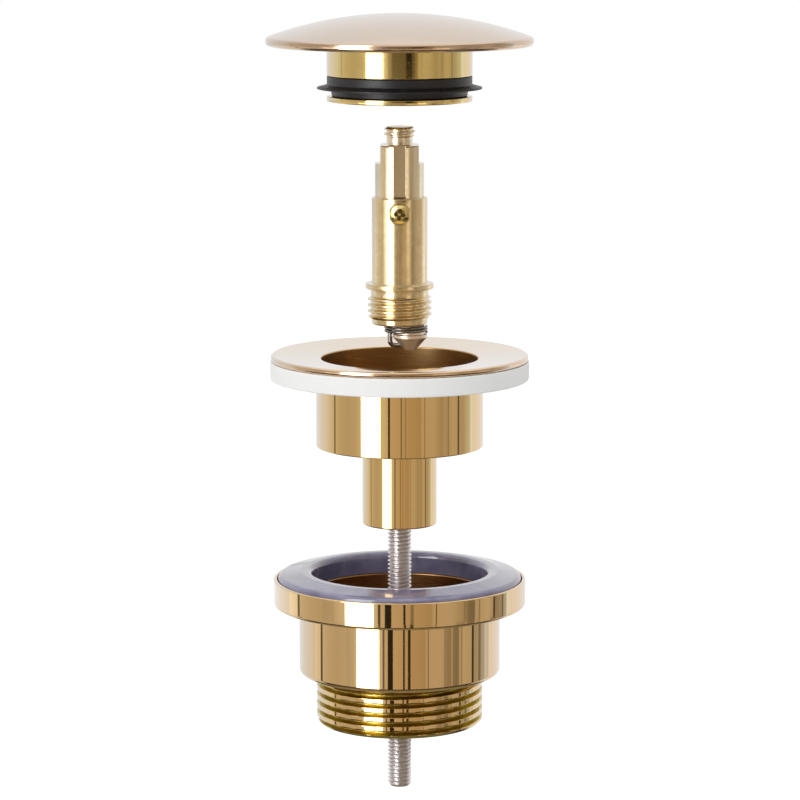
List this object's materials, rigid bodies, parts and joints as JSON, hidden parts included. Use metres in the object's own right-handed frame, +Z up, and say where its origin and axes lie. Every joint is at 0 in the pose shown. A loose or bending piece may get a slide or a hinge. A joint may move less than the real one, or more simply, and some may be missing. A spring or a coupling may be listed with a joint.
{
  "type": "push-open basin waste",
  "caption": "Push-open washbasin drain, taken apart on its axis: domed plug, latch cartridge, flange with tube, seals, clamping rod and threaded tail.",
  "frame": {"origin": "on the axis at the lower end of the tail thread, where a trap's nut screws on", "axes": "+Z up along the common axis, towards the cap; the guide screw faces -Y"},
  "size_m": [0.0662, 0.0662, 0.1952],
  "materials": {
    "gold_plate": "polished",
    "gold_dome": "fine satin, polished",
    "raw_brass": "machined, satin",
    "screw_brass": "turned",
    "stainless_rod": "rolled thread",
    "spring_steel": "drawn wire",
    "white_foam": "matte foam",
    "violet_silicone": "glossy, slightly translucent",
    "black_rubber": "satin"
  },
  "bodies": {
    "tail": {"lower_body": "gold_plate", "lower_seal": "violet_silicone"},
    "gasket": {"flange_gasket": "white_foam"},
    "flange": {"upper_flange": "gold_plate", "clamp_rod": "stainless_rod"},
    "cartridge": {"barrel": "raw_brass", "guide_screw": "screw_brass", "tail_block": "raw_brass", "latch_ring": "spring_steel", "return_spring": "spring_steel"},
    "plunger": {"plunger": "raw_brass"},
    "latch": {"latch_wire": "spring_steel"},
    "cap": {"cap_dome": "gold_dome", "plug_body": "gold_plate", "plug_seal": "black_rubber"}
  },
  "joints": [
    {"name": "flange_draw", "type": "slide", "parent": "tail", "child": "gasket", "axis": [0, 0, 1], "range_m": [-0.0421, 0.0161]},
    {"name": "flange_screw", "type": "hinge", "parent": "gasket", "child": "flange", "pos_m": [0, 0, 0.0913], "axis": [0, 0, 1], "range_deg": [-15120, 5760]},
    {"name": "cartridge_lift", "type": "slide", "parent": "flange", "child": "cartridge", "axis": [0, 0, 1], "range_m": [-0.0378, 0]},
    {"name": "plunger_push", "type": "slide", "parent": "cartridge", "child": "plunger", "axis": [0, 0, 1], "range_m": [-0.008, 0], "stiffness_N_per_m": 1200, "springref_m": 0.004, "deforming": ["return_spring", "plug_seal"]},
    {"name": "latch_swing", "type": "hinge", "parent": "cartridge", "child": "latch", "pos_m": [0, 0, 0.0957], "axis": [1, 0, 0], "range_deg": [-0.1, 6.74]},
    {"name": "cap_lift", "type": "slide", "parent": "plunger", "child": "cap", "axis": [0, 0, 1], "range_m": [-0.0249, 0]}
  ],
  "couplings": [
    {"joint": "flange_draw", "follows": "flange_screw", "m_per_rad": 0.00015915},
    {"joint": "latch_swing", "follows": "plunger_push", "rad_per_m": -14.483}
  ]
}
